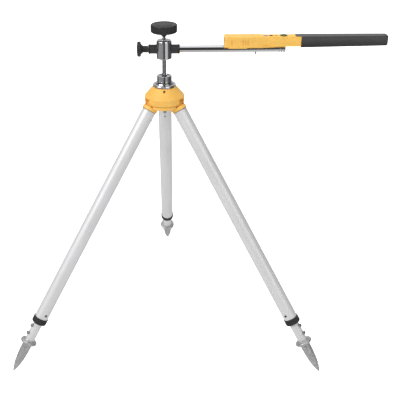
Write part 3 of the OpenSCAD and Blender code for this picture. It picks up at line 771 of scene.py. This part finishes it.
# Half width of the floor sheet and of the one below it, and their heights. An extended leg's
# tip stays above the lower one.
SHEET_REACH = 30
FLOOR_Z = -0.0005
BACKDROP_Z = -1.2
# Floor tones: two whites that cloud into each other, and what polished metal sees of it near by.
FLOOR_WHITES = (0.90, 0.90, 0.90), (0.92, 0.92, 0.92)
FLOOR_NEAR = (0.62, 0.62, 0.62)
# Distances from the stand over which the mirrored floor gives way to the room's panels.
FLOOR_FADE = {"start": 1.2, "end": 2.0}
# Upward slopes between which the mirrored walls give way to the ceiling, and its brightness.
CEILING_RISE = {"start": 0.8, "end": 0.97}
CEILING = (1.08, 1.08, 1.08)
# Compass position (0 and 1 are the camera's side, 0.25 is -X, 0.75 is +X) and brightness.
ROOM_WALLS = (
    (0.0, 0.045), (0.018, 0.045), (0.04, 0.28), (0.24, 0.36), (0.29, 0.14), (0.36, 0.16),
    (0.42, 0.7), (0.60, 0.6), (0.66, 0.08), (0.82, 0.08), (0.86, 0.62), (0.945, 0.62),
    (0.968, 0.045), (1.0, 0.045),
)
# Each lamp's place, aim, side in metres, watts, and whether polished metal mirrors it.
LAMPS = {
    "key": ((-1.9, -1.5, 2.3), (0, 0, 0.6), 1.6, 36, True),
    "fill": ((1.6, -2.4, 1.9), (0, 0, 0.6), 1.4, 11, True),
    "top": ((0.1, 0.3, 3.0), (0, 0, 0.8), 2.2, 22, False),
}
# The camera's lens and frame width in mm, its frame's shift, place, and turns in degrees.
LENS = 66.6
SENSOR = 36
LENS_SHIFT = 0.1004, -0.0908
CAMERA_PLACE = (0.0291, -2.0848, 1.5403)
CAMERA_TURNS = (1.25, "Z"), (90 - 24.74, "X"), (-0.71, "Z")


def room_tone(s, direction):
    """The room's brightness round the stand, by compass angle: pale walls and dark panels."""
    parts = s.node("ShaderNodeSeparateXYZ")
    angle = s.node("ShaderNodeMath", operation="ARCTAN2")
    ramp = s.node("ShaderNodeValToRGB")
    s.link(direction, parts.inputs["Vector"])
    s.link(parts.outputs["X"], angle.inputs[0])
    s.link(parts.outputs["Y"], angle.inputs[1])
    s.link(s.levels(angle.outputs["Value"], start=-math.pi, end=math.pi), ramp.inputs["Fac"])
    stops = ramp.color_ramp.elements
    while len(stops) < len(ROOM_WALLS):
        stops.new(0.5)
    for stop, (spot, tone) in zip(stops, ROOM_WALLS):
        stop.position = spot
        stop.color = (tone, tone, tone, 1)
    return ramp.outputs["Color"]


def floor_white():
    """Plain white studio floor. Polished metal sees it pale near by and the room further out."""
    s = Shader("studio_floor")
    tone = s.blend(s.levels(s.noise(size=90)), *FLOOR_WHITES)
    path = s.node("ShaderNodeLightPath")
    place = s.node("ShaderNodeTexCoord").outputs["Object"]
    reach = s.node("ShaderNodeVectorMath", operation="LENGTH")
    s.link(place, reach.inputs[0])
    far = s.levels(reach.outputs["Value"], **FLOOR_FADE)
    mirrored = s.blend(far, FLOOR_NEAR, room_tone(s, place))
    s.link(mirrored, s.surface.inputs["Emission Color"])
    s.link(path.outputs["Is Glossy Ray"], s.surface.inputs["Emission Strength"])
    diffuse = s.blend(path.outputs["Is Glossy Ray"], tone, (0.0, 0.0, 0.0))
    roughness = s.levels(s.noise(size=40), low=0.8, high=0.9)
    return s.finish(diffuse, roughness, Specular_IOR_Level=0.0)


def backdrop_white():
    """Overexposed white paper, faintly clouded. It lights nothing."""
    s = Shader("backdrop")
    tone = s.blend(s.levels(s.noise(size=90)), *FLOOR_WHITES)
    s.link(tone, s.surface.inputs["Emission Color"])
    s.surface.inputs["Emission Strength"].default_value = BACKDROP
    s.material.cycles.emission_sampling = "NONE"
    roughness = s.levels(s.noise(size=40), low=0.8, high=0.9)
    return s.finish(tone, roughness, Specular_IOR_Level=0.0)


def sheet(name, z, material):
    """A wide flat sheet of the stage."""
    mesh = bpy.data.meshes.new(name)
    far = SHEET_REACH
    corners = [(-far, -far, z), (far, -far, z), (far, far, z), (-far, far, z)]
    mesh.from_pydata(corners, [], [(0, 1, 2, 3)])
    mesh.materials.append(material)
    made = bpy.data.objects.new(name, mesh)
    bpy.context.scene.collection.objects.link(made)
    return made


def floor():
    """The floor lights and mirrors. The camera sees a sheet below it, and any foot between them."""
    lit = sheet("studio_floor", FLOOR_Z, floor_white())
    lit.visible_camera = False
    seen = sheet("studio_backdrop", BACKDROP_Z, backdrop_white())
    seen.visible_diffuse = False
    seen.visible_glossy = False
    seen.visible_transmission = False
    seen.visible_shadow = False


def area_light(name, place, target, side, power, mirrored):
    """A square soft lamp that points at its target."""
    lamp = bpy.data.lights.new(name, "AREA")
    lamp.size = side
    lamp.energy = power
    made = bpy.data.objects.new(name, lamp)
    made.location = place
    aim = Vector(target) - Vector(place)
    made.rotation_euler = aim.to_track_quat("-Z", "Y").to_euler()
    made.visible_glossy = mirrored
    bpy.context.scene.collection.objects.link(made)


class WorldShader(Shader):
    """The same helpers, on a world's node tree."""

    def __init__(self, world):
        self.tree = world.node_tree
        self.tree.nodes.clear()


def studio_world():
    """Overexposed white to the camera. In reflections, the room's walls and a ceiling above."""
    world = bpy.data.worlds.new("studio")
    world.use_nodes = True
    s = WorldShader(world)
    direction = s.node("ShaderNodeTexCoord").outputs["Generated"]
    height = s.node("ShaderNodeSeparateXYZ")
    s.link(direction, height.inputs["Vector"])
    overhead = s.levels(height.outputs["Z"], **CEILING_RISE)
    room = s.blend(overhead, room_tone(s, direction), CEILING)
    path = s.node("ShaderNodeLightPath")
    plain = s.blend(path.outputs["Is Camera Ray"], (AMBIENT,) * 3, (BACKDROP,) * 3)
    colour = s.blend(path.outputs["Is Glossy Ray"], plain, room)
    background = s.node("ShaderNodeBackground")
    s.link(colour, background.inputs["Color"])
    output = s.node("ShaderNodeOutputWorld")
    s.link(background.outputs["Background"], output.inputs["Surface"])
    bpy.context.scene.world = world


def camera():
    """A view down at the stand from the front. The lens's shift puts the stand off-centre."""
    lens = bpy.data.cameras.new("camera")
    lens.lens = LENS
    lens.sensor_width = SENSOR
    lens.shift_x, lens.shift_y = LENS_SHIFT
    made = bpy.data.objects.new("camera", lens)
    aim = Matrix.Translation(CAMERA_PLACE)
    for degrees, axis in CAMERA_TURNS:
        aim = aim @ Matrix.Rotation(math.radians(degrees), 4, axis)
    made.matrix_world = aim
    bpy.context.scene.collection.objects.link(made)
    bpy.context.scene.camera = made


floor()
for name, settings in LAMPS.items():
    area_light(name, *settings)
studio_world()
camera()
bpy.context.scene.view_settings.view_transform = "Standard"
